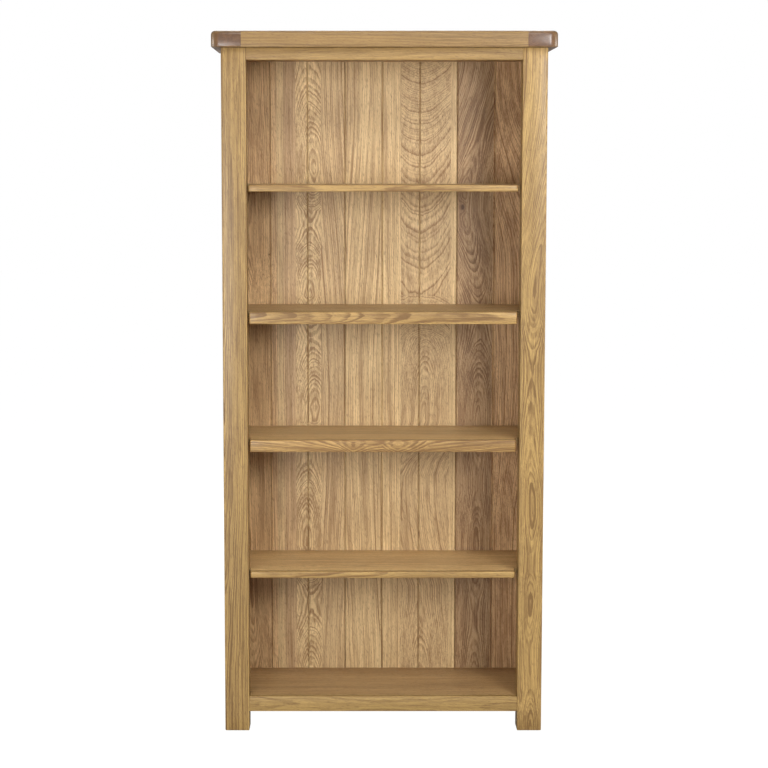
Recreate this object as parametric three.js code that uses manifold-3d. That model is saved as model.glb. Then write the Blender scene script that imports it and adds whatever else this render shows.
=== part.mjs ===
// A tall oak bookcase: a post-and-rail case with a thick breadboard top, a V-grooved back panel
// and four notched shelves that stand on steel pegs in rows of holes.
// Millimetres, +Z up, the open front faces -Y, origin on the floor under the middle of the case.
import * as THREE from 'three';
import { mergeVertices } from 'three/addons/utils/BufferGeometryUtils.js';
import Module from 'manifold-3d';

const wasm = await Module();
wasm.setup();

// Overall size
const HEIGHT = 1860;
const TOP_WIDTH = 900;
const DEPTH = 330;
const CASE_WIDTH = 850;

// Clearances: between glued or fitted pieces, and round a shelf that lifts out
const GAP = 0.3;
const SHELF_BACK_GAP = 3;

// Top: a middle board between two breadboard ends
const TOP_THICKNESS = 42;
const TOP_OVERHANG = 20;
const BREADBOARD_WIDTH = 78.5;
const TOP_CORNER_RADIUS = 24;
const TOP_TONGUE = { length: 25, thickness: 12, stop: 30 };

// Posts
const POST_WIDTH = 65;
const POST_DEPTH = 60;
const POST_EDGE_RADIUS = 5;
const POST_INNER_RADIUS = 1.5;
const REAR_POST_WIDTH = 30;
const REAR_POST_DEPTH = 45;

// Sides: rails with a grooved panel between them
const SIDE_RAIL_THICKNESS = 22;
const SIDE_RAIL_RELIEF = 8;
const SIDE_PANEL_THICKNESS = 18;
const SIDE_TOP_RAIL_HEIGHT = 78;
const SIDE_BOTTOM_RAIL_HEIGHT = 68;
const PANEL_TONGUE = { depth: 5, thickness: 8 };
const HOUSING_DEPTH = 6;
const HOUSING_STOP = 7;

// Front and back rails and the two fixed boards
const FLOOR_CLEARANCE = 52;
const BOTTOM_RAIL_HEIGHT = 41;
const TOP_RAIL_HEIGHT = 32;
const RAIL_THICKNESS = 20;
const RAIL_SETBACK = 3;
const SUB_TOP_THICKNESS = 22.5;
const BASE_SHELF_THICKNESS = 18;
const TENON = { length: 20, cheek: 4, shoulder: 5 };
const SIDE_RAIL_REAR_TENON = 9;

// Back: one panel, with upright V grooves cut in its front face
const BACK_HALF_WIDTH = 405;
const BACK_PANEL_THICKNESS = 10;
const BACK_PANEL_INSET = 5;
const BACK_PANEL_FOOT = 55;
const V_GROOVE_COUNT = 7;
const V_GROOVE_PITCH = 103.5;
const V_GROOVE_DEPTH = 2.5;

// Shelves, from the top one down: height of the upper face and depth of the front lip
const SHELVES = [
  { name: 'shelf_1', top: 1462, lip: 17 },
  { name: 'shelf_2', top: 1128, lip: 31.5 },
  { name: 'shelf_3', top: 787, lip: 31.5 },
  { name: 'shelf_4', top: 432, lip: 17 },
];
const SHELF_THICKNESS = 17;
const SHELF_WIDTH = 780;
const LIP_WIDTH = 708;
const LIP_THICKNESS = 20;
const LIP_SETBACK = 12;
const SHELF_OFFSET = -2;

// Pegs and their holes
const PEG_SIDES = 8;
const PEG_SHANK_RADIUS = 2.5;
const PEG_SHANK_LENGTH = 10;
const PEG_HEAD_RADIUS = 4;
const PEG_HEAD_LENGTH = 10;
const PEG_CHAMFER = 1;
const HOLE_RADIUS = 3.05;
const HOLE_DEPTH = 12;
const HOLE_PITCH = 32;
const HOLES_EACH_WAY = 3;
const PEG_LINES = { front: -55, rear: 95 };

// Screws that hold the top down through the sub top
const SCREW_PLACES = [-300, 0, 300].flatMap((x) => [-90, 110].map((y) => [x, y]));
const SCREW_SIDES = 8;
const SCREW_SHANK_RADIUS = 2;
const SCREW_HEAD_RADIUS = 4;
const SCREW_HEAD_THICKNESS = 2.5;
const SCREW_BITE = 16;
const SCREW_CLEARANCE = 0.6;

// Finishes
const OAK = { frame: '#c2a473', top: '#b99867', breadboard: '#8c7058', back: '#be9e73', shelf: '#b49362' };
const OAK_ROUGHNESS = 0.5;
const STEEL = { color: '#b9bcc0', roughness: 0.3, metalness: 1 };

// Planes that several pieces share
const CASE_HALF = CASE_WIDTH / 2;
const POST_INNER = CASE_HALF - POST_WIDTH;
const FRONT = -DEPTH / 2 + TOP_OVERHANG;
const POST_REAR = FRONT + POST_DEPTH;
const BACK = DEPTH / 2;
const REAR_POST_FRONT = BACK - REAR_POST_DEPTH;
const SIDE_INNER = CASE_HALF - REAR_POST_WIDTH;
const TOP_UNDERSIDE = HEIGHT - TOP_THICKNESS;
const BACK_PANEL_REAR = BACK - BACK_PANEL_INSET;
const BACK_PANEL_FRONT = BACK_PANEL_REAR - BACK_PANEL_THICKNESS;
const RAIL_FRONT = FRONT + RAIL_SETBACK;
const RAIL_REAR = RAIL_FRONT + RAIL_THICKNESS;
const BASE_TOP = FLOOR_CLEARANCE + BOTTOM_RAIL_HEIGHT;
const TONGUE_MIDDLE = SIDE_INNER + SIDE_PANEL_THICKNESS / 2;

const bookcase = new THREE.Group();

// ---- Solids ----

function toSolid(geometry) {
  const bare = geometry.clone();
  bare.deleteAttribute('normal');
  bare.deleteAttribute('uv');
  const welded = mergeVertices(bare);
  const vertProperties = new Float32Array(welded.attributes.position.array);
  const triVerts = new Uint32Array(welded.index.array);
  return new wasm.Manifold(new wasm.Mesh({ numProp: 3, vertProperties, triVerts }));
}

function toGeometry(solid) {
  const { vertProperties, triVerts } = solid.getMesh();
  const geometry = new THREE.BufferGeometry();
  geometry.setAttribute('position', new THREE.BufferAttribute(vertProperties, 3));
  geometry.setIndex(new THREE.BufferAttribute(triVerts, 1));
  return geometry;
}

// A base shape with others joined to it and others cut from it.
function carved(base, { add = [], cut = [] }) {
  let solid = toSolid(base);
  for (const extra of add) {
    solid = solid.add(toSolid(extra));
  }
  for (const tool of cut) {
    solid = solid.subtract(toSolid(tool));
  }
  return toGeometry(solid);
}

// A rectangular block between [low, high] pairs along each axis.
function block({ x, y, z }) {
  const geometry = new THREE.BoxGeometry(x[1] - x[0], y[1] - y[0], z[1] - z[0]);
  return geometry.translate((x[0] + x[1]) / 2, (y[0] + y[1]) / 2, (z[0] + z[1]) / 2);
}

// The same span with clearance on every side: a mortise for a tenon, a groove for a tongue.
function roomFor({ x, y, z }) {
  const widen = ([low, high]) => [low - GAP, high + GAP];
  return { x: widen(x), y: widen(y), z: widen(z) };
}

// An upright prism with the given plan outline.
function prism(shape, [bottom, top], curveSegments = 3) {
  const options = { depth: top - bottom, bevelEnabled: false, curveSegments };
  return new THREE.ExtrudeGeometry(shape, options).translate(0, 0, bottom);
}

// A rectangle in plan whose corners turn on the given radii, anticlockwise from the low corner.
function roundedPlan([x0, x1], [y0, y1], [r00, r10, r11, r01]) {
  const quarter = Math.PI / 2;
  const shape = new THREE.Shape();
  shape.moveTo(x0 + r00, y0);
  shape.lineTo(x1 - r10, y0);
  shape.absarc(x1 - r10, y0 + r10, r10, -quarter, 0);
  shape.lineTo(x1, y1 - r11);
  shape.absarc(x1 - r11, y1 - r11, r11, 0, quarter);
  shape.lineTo(x0 + r01, y1);
  shape.absarc(x0 + r01, y1 - r01, r01, quarter, 2 * quarter);
  shape.lineTo(x0, y0 + r00);
  shape.absarc(x0 + r00, y0 + r00, r00, 2 * quarter, 3 * quarter);
  return shape;
}

function polygonPlan(points) {
  return new THREE.Shape(points.map(([x, y]) => new THREE.Vector2(x, y)));
}

// The same piece for the other side of the case.
function mirrored(geometry) {
  const other = geometry.index ? geometry.toNonIndexed() : geometry.clone();
  const corners = other.attributes.position;
  const second = new THREE.Vector3();
  const third = new THREE.Vector3();
  for (let corner = 0; corner < corners.count; corner += 3) {
    second.fromBufferAttribute(corners, corner + 1);
    third.fromBufferAttribute(corners, corner + 2);
    corners.setXYZ(corner + 1, third.x, third.y, third.z);
    corners.setXYZ(corner + 2, second.x, second.y, second.z);
  }
  return other.scale(-1, 1, 1);
}

function piece(name, geometry, look) {
  geometry.computeVertexNormals();
  const mesh = new THREE.Mesh(geometry, new THREE.MeshStandardMaterial(look));
  mesh.name = name;
  bookcase.add(mesh);
}

function pair(name, geometry, look) {
  piece(`${name}_left`, mirrored(geometry), look);
  piece(`${name}_right`, geometry, look);
}

function oak(tone) {
  return { color: OAK[tone], roughness: OAK_ROUGHNESS, metalness: 0 };
}

// ---- Tenons: spans shared by a rail and the post it enters ----

const frontTenonY = [RAIL_FRONT + TENON.cheek, RAIL_REAR - TENON.cheek];
const frontTenonX = [POST_INNER, POST_INNER + TENON.length];
const topRailZ = [TOP_UNDERSIDE - TOP_RAIL_HEIGHT, TOP_UNDERSIDE - GAP];
const bottomRailZ = [FLOOR_CLEARANCE, BASE_TOP];
const backRailZ = [FLOOR_CLEARANCE, BASE_TOP - BASE_SHELF_THICKNESS - GAP];
const backRailY = [BACK_PANEL_FRONT - GAP - RAIL_THICKNESS, BACK_PANEL_FRONT - GAP];
const sideRailX = [SIDE_INNER, SIDE_INNER + SIDE_RAIL_THICKNESS];
const sideRailY = [POST_REAR + GAP, REAR_POST_FRONT - GAP];
const sideTopRailZ = [TOP_UNDERSIDE - SIDE_TOP_RAIL_HEIGHT, TOP_UNDERSIDE - GAP];
const sideBottomRailZ = [FLOOR_CLEARANCE, FLOOR_CLEARANCE + SIDE_BOTTOM_RAIL_HEIGHT];

const inset = ([low, high], by) => [low + by, high - by];

const frontTenons = [topRailZ, bottomRailZ].map((z) => ({
  x: frontTenonX,
  y: frontTenonY,
  z: inset(z, TENON.shoulder),
}));
const backTenon = {
  x: [SIDE_INNER, SIDE_INNER + TENON.length],
  y: inset(backRailY, TENON.cheek),
  z: inset(backRailZ, TENON.shoulder),
};
const sideTenons = [sideTopRailZ, sideBottomRailZ].map((z) => ({
  x: inset(sideRailX, TENON.cheek),
  y: [sideRailY[0] - TENON.length, sideRailY[1] + SIDE_RAIL_REAR_TENON],
  z: inset(z, 2 * TENON.shoulder),
}));

// The side panel's tongue, all round, and the housings that hold the two fixed boards.
const panelZ = [sideBottomRailZ[1] + GAP, sideTopRailZ[0] - GAP];
const panelTongue = {
  x: [TONGUE_MIDDLE - PANEL_TONGUE.thickness / 2, TONGUE_MIDDLE + PANEL_TONGUE.thickness / 2],
  y: [sideRailY[0] - PANEL_TONGUE.depth, sideRailY[1] + PANEL_TONGUE.depth],
  z: [panelZ[0] - PANEL_TONGUE.depth, panelZ[1] + PANEL_TONGUE.depth],
};
const subTopZ = [TOP_UNDERSIDE - SUB_TOP_THICKNESS, TOP_UNDERSIDE - GAP];
const baseShelfZ = [BASE_TOP - BASE_SHELF_THICKNESS, BASE_TOP];
const housings = [subTopZ, baseShelfZ].map((z) => ({
  x: [SIDE_INNER - 1, SIDE_INNER + HOUSING_DEPTH],
  y: inset(sideRailY, HOUSING_STOP),
  z,
}));

// ---- Frame ----

function addPosts() {
  const topOfPost = TOP_UNDERSIDE - GAP;
  const frontPlan = roundedPlan(
    [POST_INNER, CASE_HALF],
    [FRONT, POST_REAR],
    [POST_INNER_RADIUS, POST_EDGE_RADIUS, POST_INNER_RADIUS, POST_INNER_RADIUS],
  );
  const frontCuts = [...frontTenons, ...sideTenons, panelTongue].map((s) => block(roomFor(s)));
  pair('front_post', carved(prism(frontPlan, [0, topOfPost], 2), { cut: frontCuts }), oak('frame'));

  const rearPlan = roundedPlan(
    [SIDE_INNER, CASE_HALF],
    [REAR_POST_FRONT, BACK],
    [0, POST_INNER_RADIUS, POST_INNER_RADIUS, 0],
  );
  const rebate = block({
    x: [SIDE_INNER - 1, BACK_HALF_WIDTH + GAP],
    y: [BACK_PANEL_FRONT - GAP, BACK + 1],
    z: [BACK_PANEL_FOOT - GAP, HEIGHT],
  });
  const rearCuts = [backTenon, ...sideTenons, panelTongue].map((s) => block(roomFor(s)));
  const rearPost = carved(prism(rearPlan, [0, topOfPost], 2), { cut: [rebate, ...rearCuts] });
  pair('rear_post', rearPost, oak('frame'));
}

// A rail across the case with a tenon at each end.
function crossRail(name, halfLength, y, z, tenonY) {
  const reach = halfLength + TENON.length;
  const body = block({ x: [GAP - halfLength, halfLength - GAP], y, z });
  const tenon = block({ x: [-reach, reach], y: tenonY, z: inset(z, TENON.shoulder) });
  piece(name, carved(body, { add: [tenon] }), oak('frame'));
}

function addCrossRails() {
  const y = [RAIL_FRONT, RAIL_REAR];
  crossRail('front_top_rail', POST_INNER, y, topRailZ, frontTenonY);
  crossRail('front_bottom_rail', POST_INNER, y, bottomRailZ, frontTenonY);
  crossRail('back_bottom_rail', SIDE_INNER, backRailY, backRailZ, backTenon.y);
}

function addSideRails() {
  const rails = { top: sideTopRailZ, bottom: sideBottomRailZ };
  const tenons = { top: sideTenons[0], bottom: sideTenons[1] };
  const housing = { top: housings[0], bottom: housings[1] };
  for (const [place, z] of Object.entries(rails)) {
    const body = block({ x: [sideRailX[0], CASE_HALF - SIDE_RAIL_RELIEF], y: sideRailY, z });
    const cut = [panelTongue, housing[place]].map((s) => block(roomFor(s)));
    pair(`side_${place}_rail`, carved(body, { add: [block(tenons[place])], cut }), oak('frame'));
  }
}

// ---- Side panels with their peg holes ----

function pegHeight(shelf) {
  return shelf.top - SHELF_THICKNESS - PEG_HEAD_RADIUS - GAP;
}

function pegHoles() {
  const holes = [];
  for (const shelf of SHELVES) {
    for (const y of Object.values(PEG_LINES)) {
      for (let step = -HOLES_EACH_WAY; step <= HOLES_EACH_WAY; step += 1) {
        const hole = new THREE.CylinderGeometry(HOLE_RADIUS, HOLE_RADIUS, HOLE_DEPTH + 1, PEG_SIDES);
        hole.rotateZ(Math.PI / 2);
        const middle = SIDE_INNER + (HOLE_DEPTH - 1) / 2;
        holes.push(hole.translate(middle, y, pegHeight(shelf) + step * HOLE_PITCH));
      }
    }
  }
  return holes;
}

function addSidePanels() {
  const body = block({ x: [SIDE_INNER, SIDE_INNER + SIDE_PANEL_THICKNESS], y: sideRailY, z: panelZ });
  const panel = carved(body, { add: [block(panelTongue)], cut: pegHoles() });
  pair('side_panel', panel, oak('frame'));
}

// ---- Fixed boards ----

// Half the plan of a board that fits round the front posts, from its front edge to its back edge.
function notchedHalfPlan(front, notch, back, halfFront, halfBack) {
  return [[halfFront, front], [halfFront, notch], [halfBack, notch], [halfBack, back]];
}

function bothHalves(points) {
  const left = points.map(([x, y]) => [-x, y]).reverse();
  return polygonPlan([...points, ...left]);
}

function screwHoles(z, radius) {
  return SCREW_PLACES.map(([x, y]) => {
    const hole = new THREE.CylinderGeometry(radius, radius, z[1] - z[0], SCREW_SIDES);
    return hole.rotateX(Math.PI / 2).translate(x, y, (z[0] + z[1]) / 2);
  });
}

function carcassBoard(z, housing) {
  const [front, notch] = [RAIL_REAR + GAP, POST_REAR + GAP];
  const side = SIDE_INNER - GAP;
  const plan = notchedHalfPlan(front, notch, BACK_PANEL_FRONT - GAP, POST_INNER - GAP, side);
  const reach = housing.x[1];
  const tongue = block({ x: [-reach, reach], y: housing.y, z });
  return carved(prism(bothHalves(plan), z), { add: [tongue] });
}

function addFixedBoards() {
  piece('base_shelf', carcassBoard(baseShelfZ, housings[1]), oak('shelf'));
  const headRoom = [subTopZ[0] - 1, subTopZ[0] + SCREW_HEAD_THICKNESS + SCREW_CLEARANCE];
  const cut = [
    ...screwHoles([subTopZ[0] - 1, HEIGHT], SCREW_SHANK_RADIUS + SCREW_CLEARANCE),
    ...screwHoles(headRoom, SCREW_HEAD_RADIUS + SCREW_CLEARANCE),
  ];
  piece('sub_top', carved(carcassBoard(subTopZ, housings[0]), { cut }), oak('shelf'));
}

// ---- Top ----

function addTop() {
  const z = [TOP_UNDERSIDE, HEIGHT];
  const half = TOP_WIDTH / 2;
  const joint = half - BREADBOARD_WIDTH;
  const middle = (z[0] + z[1]) / 2;
  const tongue = {
    x: [-joint - TOP_TONGUE.length, joint + TOP_TONGUE.length],
    y: inset([-DEPTH / 2, BACK], TOP_TONGUE.stop),
    z: [middle - TOP_TONGUE.thickness / 2, middle + TOP_TONGUE.thickness / 2],
  };
  const body = block({ x: [GAP - joint, joint - GAP], y: [-DEPTH / 2, BACK], z });
  const pilots = screwHoles(
    [TOP_UNDERSIDE - 1, TOP_UNDERSIDE + SCREW_BITE + SCREW_CLEARANCE],
    SCREW_SHANK_RADIUS + SCREW_CLEARANCE,
  );
  piece('top_panel', carved(body, { add: [block(tongue)], cut: pilots }), oak('top'));

  const endPlan = roundedPlan([joint, half], [-DEPTH / 2, BACK], [0, TOP_CORNER_RADIUS, TOP_CORNER_RADIUS, 0]);
  const end = carved(prism(endPlan, z, 4), { cut: [block(roomFor(tongue))] });
  pair('top_breadboard', end, oak('breadboard'));
}

function addTopScrews() {
  const headTop = subTopZ[0] + SCREW_HEAD_THICKNESS;
  const tip = TOP_UNDERSIDE + SCREW_BITE;
  const profile = [
    [0, subTopZ[0] + GAP],
    [SCREW_HEAD_RADIUS, subTopZ[0] + GAP],
    [SCREW_HEAD_RADIUS, headTop],
    [SCREW_SHANK_RADIUS, headTop],
    [SCREW_SHANK_RADIUS, tip - 2 * SCREW_SHANK_RADIUS],
    [0, tip],
  ].map(([radius, height]) => new THREE.Vector2(radius, height));
  SCREW_PLACES.forEach(([x, y], index) => {
    const screw = new THREE.LatheGeometry(profile, SCREW_SIDES);
    piece(`top_screw_${index + 1}`, screw.rotateX(Math.PI / 2).translate(x, y, 0), STEEL);
  });
}

// ---- Back ----

function addBackPanel() {
  const grooves = [];
  for (let index = 0; index < V_GROOVE_COUNT; index += 1) {
    const x = (index - (V_GROOVE_COUNT - 1) / 2) * V_GROOVE_PITCH;
    grooves.push(
      [x - V_GROOVE_DEPTH, BACK_PANEL_FRONT],
      [x, BACK_PANEL_FRONT + V_GROOVE_DEPTH],
      [x + V_GROOVE_DEPTH, BACK_PANEL_FRONT],
    );
  }
  const plan = polygonPlan([
    [-BACK_HALF_WIDTH, BACK_PANEL_FRONT],
    ...grooves,
    [BACK_HALF_WIDTH, BACK_PANEL_FRONT],
    [BACK_HALF_WIDTH, BACK_PANEL_REAR],
    [-BACK_HALF_WIDTH, BACK_PANEL_REAR],
  ]);
  piece('back_panel', prism(plan, [BACK_PANEL_FOOT, TOP_UNDERSIDE - GAP]), oak('back'));
}

// ---- Adjustable shelves ----

function addShelf({ name, top, lip }) {
  const lipFront = FRONT + LIP_SETBACK;
  const lipRear = lipFront + LIP_THICKNESS;
  const plan = notchedHalfPlan(
    lipRear + GAP,
    POST_REAR + SHELF_BACK_GAP,
    BACK_PANEL_FRONT - SHELF_BACK_GAP,
    LIP_WIDTH / 2,
    SHELF_WIDTH / 2,
  );
  const board = prism(bothHalves(plan), [top - SHELF_THICKNESS, top]);
  piece(`${name}_board`, board.translate(SHELF_OFFSET, 0, 0), oak('shelf'));
  const lipBlock = block({ x: [-LIP_WIDTH / 2, LIP_WIDTH / 2], y: [lipFront, lipRear], z: [top - lip, top] });
  piece(`${name}_lip`, lipBlock.translate(SHELF_OFFSET, 0, 0), oak('shelf'));
}

// A peg lies along X: its shank is in the hole and its head stands out under the shelf.
function pegGeometry() {
  const shank = PEG_SHANK_RADIUS;
  const head = PEG_HEAD_RADIUS;
  const profile = [
    [0, -PEG_HEAD_LENGTH],
    [head - PEG_CHAMFER, -PEG_HEAD_LENGTH],
    [head, PEG_CHAMFER - PEG_HEAD_LENGTH],
    [head, 0],
    [shank, 0],
    [shank, PEG_SHANK_LENGTH - PEG_CHAMFER],
    [shank - PEG_CHAMFER, PEG_SHANK_LENGTH],
    [0, PEG_SHANK_LENGTH],
  ].map(([radius, along]) => new THREE.Vector2(radius, along));
  return new THREE.LatheGeometry(profile, PEG_SIDES).rotateZ(-Math.PI / 2);
}

function addPegs(shelf) {
  for (const [place, y] of Object.entries(PEG_LINES)) {
    const peg = pegGeometry().translate(SIDE_INNER - GAP, y, pegHeight(shelf));
    pair(`${shelf.name}_peg_${place}`, peg, STEEL);
  }
}

addPosts();
addCrossRails();
addSideRails();
addSidePanels();
addFixedBoards();
addTop();
addTopScrews();
addBackPanel();
for (const shelf of SHELVES) {
  addShelf(shelf);
  addPegs(shelf);
}

export default bookcase;
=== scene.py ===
"""Looks for the oak bookcase: eased and figured oak boards, plated pegs and screws, a plain studio.

Lengths are metres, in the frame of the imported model: +Z up, the open front faces -Y."""
import math
import random

import bmesh
import bpy
from mathutils import Matrix, Vector


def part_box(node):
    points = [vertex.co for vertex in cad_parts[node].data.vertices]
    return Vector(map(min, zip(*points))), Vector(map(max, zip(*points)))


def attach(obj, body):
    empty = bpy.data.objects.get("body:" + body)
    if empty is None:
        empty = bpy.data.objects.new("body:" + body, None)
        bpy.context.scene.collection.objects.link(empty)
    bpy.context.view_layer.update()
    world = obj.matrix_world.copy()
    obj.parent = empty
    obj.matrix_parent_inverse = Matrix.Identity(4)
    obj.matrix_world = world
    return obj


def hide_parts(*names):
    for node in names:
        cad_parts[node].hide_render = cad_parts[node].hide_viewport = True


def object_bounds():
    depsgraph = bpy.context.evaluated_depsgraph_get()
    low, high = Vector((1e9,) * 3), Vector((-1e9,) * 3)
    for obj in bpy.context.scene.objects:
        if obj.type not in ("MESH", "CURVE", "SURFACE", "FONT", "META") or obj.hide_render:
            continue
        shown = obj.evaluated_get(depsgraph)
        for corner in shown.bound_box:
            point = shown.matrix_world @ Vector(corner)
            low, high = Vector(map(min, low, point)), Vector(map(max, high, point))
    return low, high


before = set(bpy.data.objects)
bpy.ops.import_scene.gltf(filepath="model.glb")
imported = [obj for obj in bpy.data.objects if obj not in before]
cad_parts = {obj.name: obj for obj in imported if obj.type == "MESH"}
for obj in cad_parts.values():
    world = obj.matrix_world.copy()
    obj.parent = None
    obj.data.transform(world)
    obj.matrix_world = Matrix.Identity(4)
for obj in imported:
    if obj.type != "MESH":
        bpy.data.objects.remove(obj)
CAD_LOW, CAD_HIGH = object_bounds()
MM = 0.001
X, Y, Z = Vector((1, 0, 0)), Vector((0, 1, 0)), Vector((0, 0, 1))


# ---------------------------------------------------------------- camera

CAMERA_PLACE = (-0.086, -4.978, 1.532)  # its y is counted from the front posts
CAMERA_PITCH = 6.0
CAMERA_SHIFT = (0.0426, -0.0342)
CAMERA_LENS = 89.0
SENSOR_WIDTH = 36.0


def add_camera():
    """The front view: a long lens, a little left of the middle and well above it."""
    left, forward, height = CAMERA_PLACE
    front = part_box("front_post_left")[0].y
    data = bpy.data.cameras.new("camera")
    data.lens = CAMERA_LENS
    data.sensor_width = SENSOR_WIDTH
    data.shift_x, data.shift_y = CAMERA_SHIFT
    camera = bpy.data.objects.new("camera", data)
    camera.location = (left, front + forward, height)
    camera.rotation_euler = (math.radians(90.0 - CAMERA_PITCH), 0.0, 0.0)
    bpy.context.scene.collection.objects.link(camera)
    bpy.context.scene.camera = camera


# ---------------------------------------------------------------- shader graphs

class Graph:
    """A short way to write a node tree: each call adds a node and returns its output socket."""

    def __init__(self, name):
        self.material = bpy.data.materials.new(name)
        self.material.use_nodes = True
        self.tree = self.material.node_tree
        self.shader = self.tree.nodes["Principled BSDF"]

    def node(self, kind, **settings):
        made = self.tree.nodes.new(kind)
        for key, value in settings.items():
            setattr(made, key, value)
        return made

    def feed(self, socket, value):
        """Links a socket to another node's output, or sets it to a constant."""
        if isinstance(value, bpy.types.NodeSocket):
            self.tree.links.new(value, socket)
        else:
            socket.default_value = value

    def attribute(self, name):
        return self.node("ShaderNodeAttribute", attribute_name=name).outputs["Vector"]

    def math(self, operation, *values):
        made = self.node("ShaderNodeMath", operation=operation)
        for socket, value in zip(made.inputs, values):
            self.feed(socket, value)
        return made.outputs[0]

    def vector(self, operation, *values):
        made = self.node("ShaderNodeVectorMath", operation=operation)
        for socket, value in zip(made.inputs, values):
            self.feed(socket, value)
        return made.outputs["Value" if operation == "LENGTH" else "Vector"]

    def split(self, vector):
        made = self.node("ShaderNodeSeparateXYZ")
        self.feed(made.inputs[0], vector)
        return made.outputs

    def join(self, x, y, z):
        made = self.node("ShaderNodeCombineXYZ")
        for socket, value in zip(made.inputs, (x, y, z)):
            self.feed(socket, value)
        return made.outputs[0]

    def noise(self, place, scale=1.0, detail=2.0, rough=0.5, line=False):
        made = self.node("ShaderNodeTexNoise", noise_dimensions="1D" if line else "3D")
        self.feed(made.inputs["W" if line else "Vector"], place)
        made.inputs["Scale"].default_value = scale
        made.inputs["Detail"].default_value = detail
        made.inputs["Roughness"].default_value = rough
        return made.outputs["Fac"]

    def stretched_noise(self, place, cells, detail=2.0, rough=0.5):
        """Noise with so many cells to the metre along each axis of the place."""
        return self.noise(self.vector("MULTIPLY", place, cells), 1.0, detail, rough)

    def drift(self, place, cells, reach):
        """A smooth random offset, which reaches at most half of reach either way."""
        made = self.node("ShaderNodeTexNoise", noise_dimensions="3D")
        self.feed(made.inputs["Vector"], self.vector("MULTIPLY", place, cells))
        made.inputs["Scale"].default_value = 1.0
        made.inputs["Detail"].default_value = 2.0
        centred = self.vector("SUBTRACT", made.outputs["Color"], (0.5, 0.5, 0.5))
        return self.vector("MULTIPLY", centred, reach)

    def ramp(self, value, low, high, out_low=0.0, out_high=1.0):
        made = self.node("ShaderNodeMapRange", interpolation_type="SMOOTHSTEP")
        for socket, setting in zip(made.inputs, (value, low, high, out_low, out_high)):
            self.feed(socket, setting)
        return made.outputs[0]

    def mix(self, share, first, second, blend="MIX"):
        made = self.node("ShaderNodeMix", data_type="RGBA", blend_type=blend)
        self.feed(made.inputs["Factor"], share)
        self.feed(made.inputs["A"], rgba(first))
        self.feed(made.inputs["B"], rgba(second))
        return made.outputs["Result"]

    def bump(self, height, distance):
        made = self.node("ShaderNodeBump")
        made.inputs["Strength"].default_value = 1.0
        made.inputs["Distance"].default_value = distance
        self.feed(made.inputs["Height"], height)
        return made.outputs[0]


def rgba(colour):
    return (*colour, 1.0) if isinstance(colour, tuple) else colour


# ---------------------------------------------------------------- oak

# noise cells to the metre: along the grain, and the two ways across it
SWEEPS = (1.9, 8.0, 8.0)
WOBBLES = (14.0, 52.0, 52.0)
BANDS = (2.2, 95.0, 95.0)
CLOUDS = (3.0, 16.0, 16.0)
FIBRES = (7.0, 430.0, 430.0)
FLECKS = (58.0, 440.0, 440.0)
PORES = (120.0, 1500.0, 1500.0)

ACROSS_GRAIN = (0.0, 1.0, 1.0)
SWEEP_REACH = (0.0, 0.018, 0.018)
WOBBLE_REACH = (0.0, 0.0030, 0.0030)
KNOT_SWELL = 12 * MM
RING_WIDTH = 3.6 * MM
RING_UNEVENNESS = 3.0
FLECK_SLANTS = (0.16, 0.10)
GRAIN_DEPTH = 0.24 * MM

PORE_COLOUR = (0.17, 0.088, 0.036)
KNOT_HEART = (0.085, 0.038, 0.016)
END_LIGHT = (0.170, 0.078, 0.034)
END_DARK = (0.070, 0.029, 0.012)
WARM_TINT = (1.0, 0.80, 0.78)


def bent_log(g, log):
    """A log is neither straight nor round: slow sweeps, then small wobbles."""
    swept = g.vector("ADD", log, g.drift(log, SWEEPS, SWEEP_REACH))
    return g.vector("ADD", swept, g.drift(log, WOBBLES, WOBBLE_REACH))


def growth_rings(g, bent, knot):
    """Rings of uneven width with a porous early band each, and the broader light and dark among them."""
    near_knot = g.math("EXPONENT", g.math("MULTIPLY", g.math("POWER", knot, 2.0), -0.25))
    from_heart = g.vector("LENGTH", g.vector("MULTIPLY", bent, ACROSS_GRAIN))
    radius = g.math("ADD", from_heart, g.math("MULTIPLY", near_knot, KNOT_SWELL))
    uneven = g.math("MULTIPLY", g.noise(radius, 75.0, 3.0, line=True), RING_UNEVENNESS)
    ring = g.math("FRACT", g.math("ADD", g.math("DIVIDE", radius, RING_WIDTH), uneven))
    strength = g.ramp(g.noise(radius, 130.0, 1.0, line=True), 0.35, 0.65, 0.35, 1.0)
    early = g.math("MULTIPLY", g.ramp(ring, 0.28, 0.80), g.ramp(ring, 1.0, 0.90))
    broad = g.noise(radius, 36.0, 3.0, 0.6, line=True)
    return g.math("MULTIPLY", early, strength), broad


def flecks_and_pores(g, bent, early):
    """Flecks lie a little across the grain; pores follow it, and most of them lie in the early bands."""
    along, across, depth = g.split(bent)
    side_slant, depth_slant = FLECK_SLANTS
    across = g.math("MULTIPLY_ADD", along, side_slant, across)
    depth = g.math("MULTIPLY_ADD", along, depth_slant, depth)
    fleck = g.ramp(g.stretched_noise(g.join(along, across, depth), FLECKS, 1.0), 0.56, 0.70)
    pores = g.ramp(g.stretched_noise(bent, PORES, 1.0), 0.54, 0.68)
    return fleck, g.math("MULTIPLY", pores, g.math("MULTIPLY_ADD", early, 0.75, 0.25))


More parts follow.
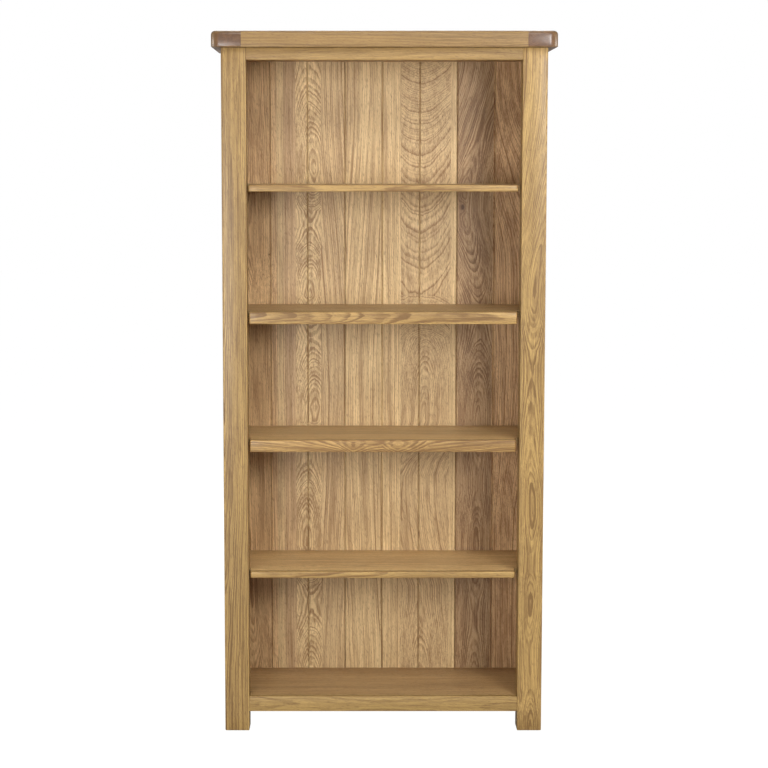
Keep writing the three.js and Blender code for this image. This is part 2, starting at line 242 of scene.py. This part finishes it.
def oak(name, light, dark, coat=0.14, coat_roughness=0.24):
    """Lacquered oak, which reads where each point lies in its log: along the grain and both ways across."""
    g = Graph(name)
    log = g.attribute("log")
    brightness, warmth, figure = g.split(g.attribute("tone"))
    knot = g.vector("LENGTH", g.attribute("knot"))
    end = g.split(g.attribute("cut"))[0]
    bent = bent_log(g, log)
    early, broad = growth_rings(g, bent, knot)
    fleck, pores = flecks_and_pores(g, bent, early)
    band = g.stretched_noise(bent, BANDS, 2.0, 0.6)
    fibre = g.stretched_noise(bent, FIBRES, 3.0, 0.7)
    cloud = g.stretched_noise(log, CLOUDS)

    # rings and bands as strong as the board's figure, then fibres, flecks and pores
    shade = g.math("MULTIPLY_ADD", early, 0.80, g.ramp(broad, 0.34, 0.66, -0.15, 0.20))
    shade = g.math("MULTIPLY", figure, g.math("ADD", shade, g.ramp(band, 0.34, 0.66, -0.14, 0.38)))
    shade = g.math("ADD", shade, g.ramp(fibre, 0.36, 0.66, -0.06, 0.42))
    colour = g.mix(shade, light, dark)
    colour = g.mix(g.math("MULTIPLY", fleck, 0.40), colour, PORE_COLOUR)
    colour = g.mix(g.math("MULTIPLY", pores, 0.55), colour, PORE_COLOUR)

    # knots: a dark heart with a paler rim
    colour = g.mix(g.math("MULTIPLY", g.ramp(knot, 3.0, 0.9), 0.45), colour, dark)
    colour = g.mix(g.math("MULTIPLY", g.ramp(knot, 1.15, 0.45), 0.75), colour, KNOT_HEART)

    # end grain drinks the stain; every board has its own warmth and brightness
    colour = g.mix(g.math("MULTIPLY", end, 0.86), colour, g.mix(shade, END_LIGHT, END_DARK))
    colour = g.mix(warmth, colour, g.mix(1.0, colour, WARM_TINT, "MULTIPLY"))
    value = g.math("MULTIPLY", brightness, g.math("MULTIPLY_ADD", cloud, 0.26, 0.87))
    colour = g.mix(1.0, colour, g.join(value, value, value), "MULTIPLY")
    g.feed(g.shader.inputs["Base Color"], colour)

    rough = g.math("ADD", g.math("MULTIPLY", pores, 0.2), g.math("MULTIPLY_ADD", fibre, 0.18, 0.34))
    g.feed(g.shader.inputs["Roughness"], rough)
    grooves = g.math("MULTIPLY_ADD", early, 0.25, g.math("MULTIPLY_ADD", fleck, 0.3, pores))
    relief = g.math("MULTIPLY_ADD", fibre, 0.3, g.math("MULTIPLY", grooves, -1.0))
    g.feed(g.shader.inputs["Normal"], g.bump(relief, GRAIN_DEPTH))
    g.shader.inputs["Specular IOR Level"].default_value = 0.42
    g.shader.inputs["Coat Weight"].default_value = coat
    g.shader.inputs["Coat Roughness"].default_value = coat_roughness
    return g.material


# ---------------------------------------------------------------- metal

MARK_DEPTH = 0.06 * MM
PATCH_CELLS = 260.0


def plated_steel(name, base, roughness, mark_cells):
    """Plated steel with fine turning marks and small dull patches."""
    g = Graph(name)
    place = g.node("ShaderNodeTexCoord").outputs["Object"]
    marks = g.stretched_noise(place, mark_cells, 3.0, 0.6)
    patches = g.noise(place, PATCH_CELLS, 3.0, 0.6)
    dull = tuple(0.6 * part for part in base)
    g.feed(g.shader.inputs["Base Color"], g.mix(g.ramp(patches, 0.45, 0.75, 0.0, 0.6), base, dull))
    rough = g.math("MULTIPLY_ADD", g.math("ADD", marks, patches), 0.14, roughness)
    g.feed(g.shader.inputs["Roughness"], rough)
    g.feed(g.shader.inputs["Normal"], g.bump(marks, MARK_DEPTH))
    g.shader.inputs["Metallic"].default_value = 1.0
    return g.material


# ---------------------------------------------------------------- board meshes

NEAR = 0.1 * MM
MERGE_DISTANCE = 0.005 * MM
CUT_DISTANCE = 0.002 * MM
FLAT_ANGLE = math.radians(0.5)
SHARP_ANGLE = math.radians(35)
SHADING_ANGLE = math.radians(38)
GRAIN_STEP = 40 * MM  # a board has an edge loop at least this often, so that its log can bend
FAR_AWAY = (50.0, 50.0, 0.0)
KNOT_STRETCH = 1.6
# eased edges are painted lighter: partly wear, partly a painted highlight
WEAR_AND_HIGHLIGHT_TONE = 1.10
# painted shade in the back's V grooves
GROOVE_SHADE_TONE = 0.80


class Stave:
    """One piece of oak as it was sawn: where its log's heart lies, and its tone.

    path lists (place along the grain, distance of the heart to one side, its depth behind the face).
    A heart beside the stave gives straight grain; one behind it that changes depth gives arches."""

    def __init__(self, path, tone=1.0, warmth=0.0, figure=0.7, shift=0.0):
        self.path = path
        self.tone = tone
        self.warmth = warmth
        self.figure = figure
        self.shift = shift

    def heart(self, along):
        """The heart's place at one point of the grain, on a smooth curve through the path's points."""
        path = self.path
        if along <= path[0][0]:
            return path[0][1:]
        for number in range(1, len(path)):
            start, end = path[number - 1], path[number]
            if along <= end[0]:
                length = end[0] - start[0]
                share = (along - start[0]) / length
                turn = share * share * (3.0 - 2.0 * share)
                leave = share * (1.0 - share) ** 2 * length
                arrive = share * share * (1.0 - share) * length
                place = []
                for axis in (1, 2):
                    value = start[axis] + (end[axis] - start[axis]) * turn
                    value += self.slope(number - 1, axis) * leave - self.slope(number, axis) * arrive
                    place.append(value)
                return place
        return path[-1][1:]

    def slope(self, number, axis):
        """How fast the heart moves at a point of the path: level where it turns, so it never overshoots."""
        if not 0 < number < len(self.path) - 1:
            return 0.0
        before, here, after = self.path[number - 1:number + 2]
        first = (here[axis] - before[axis]) / (here[0] - before[0])
        second = (after[axis] - here[axis]) / (after[0] - here[0])
        return 0.0 if first * second <= 0.0 else 2.0 * first * second / (first + second)


def node_mesh(node):
    """A clean copy of a CAD node: shared corners merged and flat faces whole again."""
    bm = bmesh.new()
    bm.from_mesh(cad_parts[node].data)
    bmesh.ops.remove_doubles(bm, verts=bm.verts, dist=MERGE_DISTANCE)
    bmesh.ops.dissolve_limit(bm, angle_limit=FLAT_ANGLE, verts=bm.verts, edges=bm.edges)
    return bm


def corners(bm):
    low = Vector([min(v.co[i] for v in bm.verts) for i in range(3)])
    high = Vector([max(v.co[i] for v in bm.verts) for i in range(3)])
    return low, high


def sharp(edge):
    return len(edge.link_faces) == 2 and edge.calc_face_angle_signed(0.0) > SHARP_ANGLE


def outer_edges(bm, low, high):
    """The sharp outside edges: those that lie on at least two sides of the piece's box, or on its ends."""
    found = []
    for edge in bm.edges:
        middle = (edge.verts[0].co + edge.verts[1].co) / 2
        sides = [abs(middle[i] - low[i]) < NEAR or abs(middle[i] - high[i]) < NEAR for i in range(3)]
        if sharp(edge) and (sum(sides) >= 2 or sides[2]):
            found.append(edge)
    return found


def ease(bm, edges, radius, segments=2):
    if edges:
        bmesh.ops.bevel(
            bm, geom=edges, offset=radius, offset_type="OFFSET", segments=segments,
            profile=0.5, affect="EDGES", clamp_overlap=True,
        )


def cut_across(bm, axis, places):
    """Adds an edge loop at each place along an axis, so that every face lies between two of them."""
    for place in places:
        geometry = [*bm.verts, *bm.edges, *bm.faces]
        bmesh.ops.bisect_plane(
            bm, geom=geometry, dist=CUT_DISTANCE, plane_co=axis * place, plane_no=axis,
        )


def worn_and_highlit(face):
    """The eased edges are painted lighter: partly rubbed wear, partly a painted highlight where they catch
    the light.
    """
    eased = max(abs(part) for part in face.normal) < 0.97
    return WEAR_AND_HIGHLIGHT_TONE if eased else 1.0


def groove_shade(face):
    """Painted shade in the V grooves of the back: their faces are darker."""
    in_groove = abs(face.normal.x) > 0.3 and abs(face.normal.y) > 0.3
    return GROOVE_SHADE_TONE if in_groove else 1.0


def nearest_knot(knots, along, side):
    return min(knots, key=lambda knot: abs(along - knot[0]) + abs(side - knot[1]), default=None)


def knot_place(along, side, knot):
    """A point's place against a knot whose rim is at 1; knots are longer than they are wide."""
    if knot is None:
        return FAR_AWAY
    knot_along, knot_side, radius = knot
    return ((along - knot_along) / (KNOT_STRETCH * radius), (side - knot_side) / radius, 0.0)


def figure_boards(bm, grain, across, staves, joints, knots, wear_and_shading):
    """Writes each corner's place in its log, its tone, any knot near it, and how far it is end grain."""
    behind = grain.cross(across)
    layers = bm.loops.layers.float_vector
    log, tone, near_knot, cut = [layers.new(name) for name in ("log", "tone", "knot", "cut")]
    low, high = corners(bm)
    bounds = [low.dot(across), *joints, high.dot(across)]
    front = min(low.dot(behind), high.dot(behind))
    for face in bm.faces:
        middle = face.calc_center_median()
        index = sum(middle.dot(across) > joint for joint in joints)
        stave = staves[index]
        centre = (bounds[index] + bounds[index + 1]) / 2
        knot = nearest_knot(knots, middle.dot(grain), middle.dot(across))
        # the tone takes in wear and painted light: painted shade in grooves, a painted highlight on eased
        # edges
        tones = Vector((stave.tone * wear_and_shading(face), stave.warmth, stave.figure))
        end = Vector((abs(face.normal.dot(grain)) ** 3, 0.0, 0.0))
        for loop in face.loops:
            place = loop.vert.co
            along, side = place.dot(grain), place.dot(across)
            beside, deep = stave.heart(along)
            depth = place.dot(behind) - front + deep
            loop[log] = Vector((along + stave.shift, side - centre - beside, depth))
            loop[tone] = tones
            loop[near_knot] = Vector(knot_place(along, side, knot))
            loop[cut] = end


def finish_piece(bm, name, body, material, replaced=()):
    """Turns a mesh into a piece that rides on a body and stands in for the replaced CAD nodes."""
    mesh = bpy.data.meshes.new(name)
    bmesh.ops.recalc_face_normals(bm, faces=bm.faces)
    bm.to_mesh(mesh)
    bm.free()
    packed_normals = mesh.attributes.get("custom_normal")  # the CAD's own, wrong on eased edges
    if packed_normals:
        mesh.attributes.remove(packed_normals)
    for polygon in mesh.polygons:
        polygon.use_smooth = True
    mesh.set_sharp_from_angle(angle=SHADING_ANGLE)
    mesh.materials.append(material)
    piece = bpy.data.objects.new(name, mesh)
    bpy.context.scene.collection.objects.link(piece)
    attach(piece, body)
    if replaced:
        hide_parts(*replaced)


def board(
    node, slot, grain, across, staves, joints=(), radius=1.2 * MM,
    body="case", knots=(), shape=None, wear_and_shading=worn_and_highlit,
):
    """A CAD board with its outer edges eased and oak figure in each of its staves."""
    bm = node_mesh(node)
    low, high = corners(bm)
    if shape:
        shape(bm, low, high)
    elif radius:
        ease(bm, outer_edges(bm, low, high), radius)
    cut_across(bm, across, joints)
    start, end = sorted((low.dot(grain), high.dot(grain)))
    steps = int((end - start) / GRAIN_STEP)
    cut_across(bm, grain, [start + (end - start) * (i + 1) / (steps + 1) for i in range(steps)])
    figure_boards(bm, grain, across, staves, joints, knots, wear_and_shading)
    finish_piece(bm, f"oak_{node}", body, MATERIALS[slot], [node])


# ---------------------------------------------------------------- boards off the pile

LOG_SHIFT = 9.0
MOST_WARMTH = 0.22


def arched_path(rng, start, end):
    """A heart that wanders behind the stave and comes nearer and goes deeper."""
    path = [(start, rng.uniform(-0.010, 0.010), rng.uniform(0.008, 0.03))]
    while path[-1][0] < end:
        along = path[-1][0] + rng.uniform(0.3, 0.6)
        path.append((along, rng.uniform(-0.012, 0.012), rng.uniform(0.008, 0.045)))
    return path


def straight_path(rng, start, end):
    """A heart well to one side of the stave, nearly parallel to it."""
    side = rng.choice((-1, 1))
    lean = rng.uniform(-0.012, 0.012)
    beside = side * rng.uniform(0.08, 0.16)
    deep = rng.uniform(0.02, 0.06)
    return [(start, beside, deep), (end, beside + lean * (end - start), deep)]


def varied_stave(rng, start, end, spread=0.06, arched=0.4, figure=(0.5, 0.95)):
    """An arched or straight stave, a little lighter or darker than the next."""
    shift = rng.uniform(-LOG_SHIFT, LOG_SHIFT)
    tone = 1.0 + rng.uniform(-spread, spread)
    warmth = rng.uniform(0.0, MOST_WARMTH)
    strength = rng.uniform(*figure)
    path = (arched_path if rng.random() < arched else straight_path)(rng, start, end)
    return Stave(path, tone, warmth, strength, shift)


def varied_staves(rng, node, grain, count, **variety):
    low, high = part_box(node)
    start, end = sorted((low.dot(grain), high.dot(grain)))
    return [varied_stave(rng, start, end, **variety) for _ in range(count)]


def even_joints(rng, node, across, count, jitter=0.12):
    """The glued joints between a board's staves, which are nearly as wide as each other."""
    low, high = (corner.dot(across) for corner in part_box(node))
    width = (high - low) / count
    return [low + width * (i + rng.uniform(-jitter, jitter)) for i in range(1, count)]


# ---------------------------------------------------------------- the bookcase

MATERIALS = {
    "frame_oak": oak("frame_oak", (0.500, 0.322, 0.107), (0.210, 0.114, 0.034)),
    "back_oak": oak("back_oak", (0.735, 0.535, 0.270), (0.325, 0.190, 0.080)),
    "shelf_oak": oak("shelf_oak", (0.61, 0.425, 0.185), (0.31, 0.185, 0.075)),
    "top_oak": oak("top_oak", (0.340, 0.208, 0.068), (0.165, 0.092, 0.028)),
    "breadboard_oak": oak("breadboard_oak", (0.305, 0.190, 0.070), (0.150, 0.084, 0.030), 0.6, 0.20),
}
NICKEL = plated_steel("peg_steel", (0.66, 0.63, 0.58), 0.18, (300.0, 2500.0, 2500.0))
ZINC = plated_steel("screw_steel", (0.58, 0.58, 0.57), 0.28, (900.0, 900.0, 300.0))

POST_RADIUS = 1.5 * MM
LEFT_POST_HEART = [(0.0, -0.052, 0.050), (0.9, -0.044, 0.032), (1.85, -0.048, 0.003)]
RIGHT_POST_HEART = [
    (0.0, 0.002, 0.006), (0.13, 0.0, 0.022), (0.22, -0.002, 0.022), (0.35, 0.001, 0.010),
    (0.46, 0.0, 0.021), (0.615, 0.003, 0.009), (0.76, -0.002, 0.022), (1.00, 0.0, 0.034),
    (1.17, 0.002, 0.012), (1.40, 0.035, 0.024), (1.8, 0.075, 0.04),
]


def add_posts(rng):
    """Straight grain in the left front post; arches and eyes over most of the right one."""
    oak_post("front_post_left", Stave(LEFT_POST_HEART, 0.95, 0.05, 1.0, 3.1))
    oak_post("front_post_right", Stave(RIGHT_POST_HEART, 1.07, 0.0, 0.90, 0.4))
    for side in ("left", "right"):
        oak_post(f"rear_post_{side}", varied_staves(rng, f"rear_post_{side}", Z, 1)[0])


def oak_post(node, stave):
    board(node, "frame_oak", Z, X, [stave], radius=POST_RADIUS)


LONG_RAIL_TONES = (("front_top_rail", 0.86), ("front_bottom_rail", 0.93), ("back_bottom_rail", 1.0))
LONG_RAIL_FIGURE = 0.35


def add_rails(rng):
    for node, tone in LONG_RAIL_TONES:
        staves = varied_staves(rng, node, X, 1, spread=0.0, arched=0.6)
        staves[0].tone = tone
        staves[0].figure = LONG_RAIL_FIGURE
        board(node, "frame_oak", X, Z, staves, radius=POST_RADIUS)
    for side in ("left", "right"):
        for place in ("top", "bottom"):
            node = f"side_{place}_rail_{side}"
            board(node, "frame_oak", Y, Z, varied_staves(rng, node, Y, 1))
        node = f"side_panel_{side}"
        staves = varied_staves(rng, node, Z, 3, arched=0.5)
        board(node, "frame_oak", Z, Y, staves, even_joints(rng, node, Y, 3), radius=0.5 * MM)


FIXED_BOARD_TONES = (("sub_top", 0.92), ("base_shelf", 0.86))
FIXED_BOARD_WARMTH = 0.40
QUIET_FIGURE = (0.35, 0.65)


def add_fixed_boards(rng):
    for node, tone in FIXED_BOARD_TONES:
        staves = varied_staves(rng, node, X, 3, spread=0.04, figure=QUIET_FIGURE)
        for stave in staves:
            stave.tone *= tone
            stave.warmth = FIXED_BOARD_WARMTH
        board(node, "shelf_oak", X, Y, staves, even_joints(rng, node, Y, 3), radius=1.0 * MM)


# the veneer leaves of the back: right edge, tone, warmth, figure, and the heart at some heights
BACK_LEAVES = [
    (-0.293, 1.06, 0.35, 0.8, [
        (0.0, -0.36, 0.035), (0.3, -0.37, 0.012), (1.1, -0.385, 0.015), (1.3, -0.375, 0.04),
        (1.8, -0.40, 0.02)]),
    (-0.273, 1.0, 0.05, 0.6, [(0.0, -0.45, 0.04)]),
    (-0.240, 0.84, 0.35, 0.75, [(0.0, -0.50, 0.05)]),
    (-0.170, 1.04, 0.0, 0.95, [
        (0.0, -0.200, 0.012), (0.30, -0.195, 0.060), (0.45, -0.210, 0.018), (0.72, -0.205, 0.065),
        (0.82, -0.190, 0.016), (1.05, -0.195, 0.062), (1.15, -0.205, 0.014), (1.36, -0.200, 0.060),
        (1.50, -0.190, 0.014), (1.82, -0.200, 0.070)]),
    (-0.100, 0.94, 0.12, 0.85, [(0.0, -0.28, 0.03), (0.9, -0.25, 0.03), (1.8, -0.30, 0.04)]),
    (-0.005, 1.04, 0.0, 0.85, [(0.0, 0.10, 0.03), (0.8, 0.07, 0.03), (1.8, 0.11, 0.03)]),
    (0.052, 1.09, 0.0, 0.8, [(0.0, -0.10, 0.03), (1.8, -0.12, 0.03)]),
    (0.189, 0.94, 0.12, 0.70, [
        (0.0, 0.11, 0.010), (0.32, 0.11, 0.045), (0.44, 0.07, 0.040), (0.64, 0.05, 0.035),
        (0.80, 0.115, 0.012), (1.06, 0.12, 0.062), (1.125, 0.1035, 0.265), (1.28, 0.1035, 0.245),
        (1.44, 0.1035, 0.215), (1.55, 0.1035, 0.190), (1.66, 0.1035, 0.150), (1.76, 0.1035, 0.090),
        (1.83, 0.1035, 0.030)]),
    (0.206, 1.05, 0.0, 0.4, [(0.0, 0.02, 0.03)]),
    (0.307, 0.69, 0.50, 1.0, [
        (0.0, 0.262, 0.008), (0.25, 0.262, 0.03), (0.45, 0.265, 0.010), (0.62, 0.268, 0.03),
        (0.80, 0.270, 0.015), (1.08, 0.272, 0.055), (1.25, 0.25, 0.03), (1.40, 0.225, 0.012),
        (1.60, 0.27, 0.03), (1.82, 0.33, 0.02)]),
    (None, 0.97, 0.55, 1.0, [
        (0.0, 0.47, 0.03), (0.45, 0.46, 0.05), (0.80, 0.45, 0.10), (1.25, 0.43, 0.12),
        (1.5, 0.42, 0.08), (1.8, 0.40, 0.015)]),
]
LEAF_SHIFT = 0.37
BACK_KNOTS = [(1.397, 0.2226, 6 * MM), (1.266, -0.314, 1.6 * MM)]  # height, x and radius


def add_back():
    """One veneered panel: the leaves are laid side by side and take no notice of the V grooves."""
    low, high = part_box("back_panel")
    joints = [leaf[0] for leaf in BACK_LEAVES[:-1]]
    bounds = [low.x, *joints, high.x]
    staves = []
    for number, (_, tone, warmth, figure, path) in enumerate(BACK_LEAVES):
        centre = (bounds[number] + bounds[number + 1]) / 2
        placed = [(height, heart - centre, depth) for height, heart, depth in path]
        staves.append(Stave(placed, tone, warmth, figure, LEAF_SHIFT * number))
    # the back's V grooves get painted shade
    board("back_panel", "back_oak", Z, X, staves, joints, radius=0.0, knots=BACK_KNOTS, wear_and_shading=groove_shade)


BREADBOARD_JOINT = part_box("top_breadboard_right")[0].x


def rounded_top(bm, low, high):
    """Rounds the top's outline over above and softens it below, and leaves the glued joints square."""
    def outline(height):
        found = []
        for edge in bm.edges:
            first, second = (v.co for v in edge.verts)
            level = max(abs(first.z - height), abs(second.z - height)) < NEAR
            across = abs(first.x - second.x) < NEAR
            on_joint = across and abs(abs(first.x) - BREADBOARD_JOINT) < 1.0 * MM
            if level and sharp(edge) and not on_joint:
                found.append(edge)
        return found

    ease(bm, outline(high.z), 10 * MM, 5)
    ease(bm, outline(low.z), 3 * MM, 3)


def add_top(rng):
    """The middle's grain runs along the top; the ends' runs front to back, so their fronts are end grain."""
    staves = varied_staves(rng, "top_panel", X, 3, spread=0.04)
    joints = even_joints(rng, "top_panel", Y, 3)
    board("top_panel", "top_oak", X, Y, staves, joints, shape=rounded_top)
    for side in ("left", "right"):
        node = f"top_breadboard_{side}"
        stave = varied_staves(rng, node, Y, 1, spread=0.02)
        board(node, "breadboard_oak", Y, X, stave, shape=rounded_top)


SHELF_TONES = (1.0, 0.90, 1.07, 1.22)
LIP_TONES = (1.09, 1.06, 1.16, 1.14)
LIP_WITH_EYES = 3
LIP_EYES_FIGURE = 1.15
LIP_EYES_HEART = [
    (-0.36, 0.030, 0.020), (-0.13, 0.014, 0.012), (-0.075, 0.004, 0.001), (-0.020, 0.012, 0.013),
    (0.045, 0.004, 0.001), (0.10, 0.014, 0.013), (0.36, 0.030, 0.020),
]


def rounded_lip(bm, low, high):
    """A lip's upright front edges are well rounded; its long edges are only eased."""
    def on_front(v):
        return abs(v.co.y - low.y) < NEAR

    def on_top_or_underside(v):
        return v.co.z > high.z - NEAR or v.co.z < low.z + NEAR

    upright = [edge for edge in bm.edges if abs(edge.verts[0].co.z - edge.verts[1].co.z) > NEAR]
    ease(bm, [edge for edge in upright if on_front(edge.verts[0])], 4.5 * MM, 4)
    ease(bm, [e for e in bm.edges if sharp(e) and all(map(on_top_or_underside, e.verts))], 2.0 * MM, 3)


def add_shelves(rng):
    """Four shelves, each a board of three staves with a lip on its front edge."""
    for number, (shelf_tone, lip_tone) in enumerate(zip(SHELF_TONES, LIP_TONES), 1):
        shelf = f"shelf_{number}"
        node = f"{shelf}_board"
        staves = varied_staves(rng, node, X, 3, spread=0.05, figure=QUIET_FIGURE)
        for stave in staves:
            stave.tone *= shelf_tone
        board(node, "shelf_oak", X, Y, staves, even_joints(rng, node, Y, 3), radius=0.8 * MM, body=shelf)
        node = f"{shelf}_lip"
        lip = varied_staves(rng, node, X, 1, spread=0.04, arched=0.9, figure=(0.7, 1.0))
        lip[0].tone *= lip_tone
        if number == LIP_WITH_EYES:
            lip[0].path = LIP_EYES_HEART
            lip[0].figure = LIP_EYES_FIGURE
        board(node, "frame_oak", X, Z, lip, body=shelf, shape=rounded_lip)


# ---------------------------------------------------------------- metal parts

SCREW_INSET = 8 * MM
SCREWS_UP = 8
SCREWS_ALONG = 5
SCREW_RADIUS = 3.6 * MM
SCREW_RISE = 0.7 * MM
SCREW_SIDES = 24
CROSS_REACH = 2.1 * MM
CROSS_HALF_WIDTH = 0.5 * MM
CROSS_DEPTH = 1.4 * MM
TURN_BETWEEN_SCREWS = 0.7


def add_back_screws():
    """Cross-head screws round the rear of the back panel."""
    bm = bmesh.new()
    low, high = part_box("back_panel")
    rows = (low.z + SCREW_INSET, high.z - SCREW_INSET)
    columns = (low.x + SCREW_INSET, high.x - SCREW_INSET)
    places = [(x, z) for x in columns for z in spaced(low.z + 30 * MM, high.z - 30 * MM, SCREWS_UP)]
    places += [(x, z) for z in rows for x in spaced(low.x + 90 * MM, high.x - 90 * MM, SCREWS_ALONG)]
    for number, (x, z) in enumerate(places):
        screw_head(bm, Vector((x, high.y, z)), TURN_BETWEEN_SCREWS * number)
    finish_piece(bm, "back_screws", "case", ZINC)


def spaced(start, end, count):
    return [start + (end - start) * i / (count - 1) for i in range(count)]


def screw_head(bm, centre, turn):
    """One low head that stands off the rear face: a sloped rim, a flat top and a cross cut into it."""
    def ring(radius, height):
        angles = [turn + 2 * math.pi * i / SCREW_SIDES for i in range(SCREW_SIDES)]
        places = [Vector((radius * math.cos(a), height, radius * math.sin(a))) for a in angles]
        return [bm.verts.new(centre + place) for place in places]

    rims = [
        ring(SCREW_RADIUS, -0.1 * MM), ring(SCREW_RADIUS, 0.25 * SCREW_RISE),
        ring(0.84 * SCREW_RADIUS, SCREW_RISE),
    ]
    for lower, upper in zip(rims, rims[1:]):
        for i in range(SCREW_SIDES):
            after = (i + 1) % SCREW_SIDES
            bm.faces.new((lower[i], lower[after], upper[after], upper[i]))
    bm.faces.new(rims[0])
    arm, half = CROSS_REACH, CROSS_HALF_WIDTH
    outline = [(arm, half), (half, half), (half, arm), (-half, arm), (-half, half), (-arm, half)]
    outline += [(-x, -z) for x, z in outline]
    spin = Matrix.Rotation(turn, 3, "Y")
    lips = [bm.verts.new(centre + spin @ Vector((x, SCREW_RISE, z))) for x, z in outline]
    floor = [bm.verts.new(v.co - Y * CROSS_DEPTH) for v in lips]
    loops = []
    for loop in (rims[-1], lips):
        pairs = zip(loop, loop[1:] + loop[:1])
        loops += [bm.edges.get(pair) or bm.edges.new(pair) for pair in pairs]
    bmesh.ops.triangle_fill(bm, edges=loops, use_beauty=True)
    for i in range(len(lips)):
        after = (i + 1) % len(lips)
        bm.faces.new((lips[i], lips[after], floor[after], floor[i]))
    bm.faces.new(floor)


def add_metal():
    """The pegs and screws keep their CAD shape."""
    for name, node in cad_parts.items():
        metal = NICKEL if "_peg_" in name else ZINC if "screw" in name else None
        if metal:
            node.data.materials.clear()
            node.data.materials.append(metal)


# ---------------------------------------------------------------- studio

FLOOR_GAP = 0.5 * MM
FLOOR_GREY = (0.4, 0.4, 0.4, 1.0)
FLOOR_GLOW = 1.18
FLOOR_GLOW_SHARE = 0.84
AMBIENT = (0.96, 0.93, 1.05, 1.0)
AMBIENT_STRENGTH = 0.14
WHITE = (1.0, 1.0, 1.0, 1.0)


def add_floor():
    """A plain white floor: the camera sees it as bright as the backdrop, but for a trace of shadow."""
    bpy.ops.mesh.primitive_plane_add(size=40.0, location=(0.0, 0.0, CAD_LOW.z - FLOOR_GAP))
    floor = bpy.context.object
    floor.name = "floor"
    g = Graph("floor")
    g.shader.inputs["Base Color"].default_value = FLOOR_GREY
    g.shader.inputs["Roughness"].default_value = 0.9
    glow = g.node("ShaderNodeEmission")
    glow.inputs["Strength"].default_value = FLOOR_GLOW
    both = g.node("ShaderNodeMixShader")
    seen = g.node("ShaderNodeLightPath").outputs["Is Camera Ray"]
    g.feed(both.inputs[0], g.math("MULTIPLY", seen, FLOOR_GLOW_SHARE))
    g.feed(both.inputs[1], g.shader.outputs[0])
    g.feed(both.inputs[2], glow.outputs[0])
    g.feed(g.tree.nodes["Material Output"].inputs["Surface"], both.outputs[0])
    floor.data.materials.append(g.material)


def add_light(name, place, target, size, power):
    data = bpy.data.lights.new(name, "AREA")
    data.shape = "RECTANGLE"
    data.size, data.size_y = size
    data.energy = power
    light = bpy.data.objects.new(name, data)
    light.location = place
    aim = target - Vector(place)
    light.rotation_euler = aim.to_track_quat("-Z", "Y").to_euler()
    bpy.context.scene.collection.objects.link(light)


def add_studio():
    """A soft box each side of the camera and one overhead; others light the rear, the sides and the top.

    The rear light is narrower than the case and the side lights face the sides squarely, so none of
    them glares off a side or the top at a grazing angle."""
    add_floor()
    middle = (CAD_LOW + CAD_HIGH) / 2
    upper = middle + Z * 0.3
    top = Z * CAD_HIGH.z
    add_light("front_right", (1.50, -3.20, 1.95), upper, (0.80, 1.00), 67.0)
    add_light("front_left", (-1.20, -3.25, 1.00), middle, (0.85, 1.0), 48.0)
    add_light("overhead", (0.1, -2.4, 3.35), upper, (1.6, 0.9), 37.0)
    add_light("rear", (0.0, 3.8, 1.2), middle, (0.7, 1.6), 105.0)
    add_light("side_right", (3.4, 0.3, 1.2), middle, (0.7, 1.6), 46.0)
    add_light("side_left", (-3.4, 0.3, 1.2), middle, (0.7, 1.6), 46.0)
    add_light("above", (0.0, 1.4, 3.4), top, (1.6, 0.8), 30.0)
    add_world()


def add_world():
    """A weak ambient light; the camera sees plain white instead of it."""
    world = bpy.data.worlds.new("studio")
    world.use_nodes = True
    nodes, links = world.node_tree.nodes, world.node_tree.links
    ambient = nodes["Background"]
    ambient.inputs["Color"].default_value = AMBIENT
    ambient.inputs["Strength"].default_value = AMBIENT_STRENGTH
    backdrop = nodes.new("ShaderNodeBackground")
    backdrop.inputs["Color"].default_value = WHITE
    choose = nodes.new("ShaderNodeMixShader")
    rays = nodes.new("ShaderNodeLightPath")
    links.new(rays.outputs["Is Camera Ray"], choose.inputs["Fac"])
    links.new(ambient.outputs[0], choose.inputs[1])
    links.new(backdrop.outputs[0], choose.inputs[2])
    links.new(choose.outputs[0], nodes["World Output"].inputs["Surface"])
    bpy.context.scene.world = world
    bpy.context.scene.view_settings.view_transform = "Standard"


def main():
    rng = random.Random(11)
    add_camera()
    add_posts(rng)
    add_rails(rng)
    add_fixed_boards(rng)
    add_back()
    add_top(rng)
    add_shelves(rng)
    add_back_screws()
    add_metal()
    add_studio()


main()
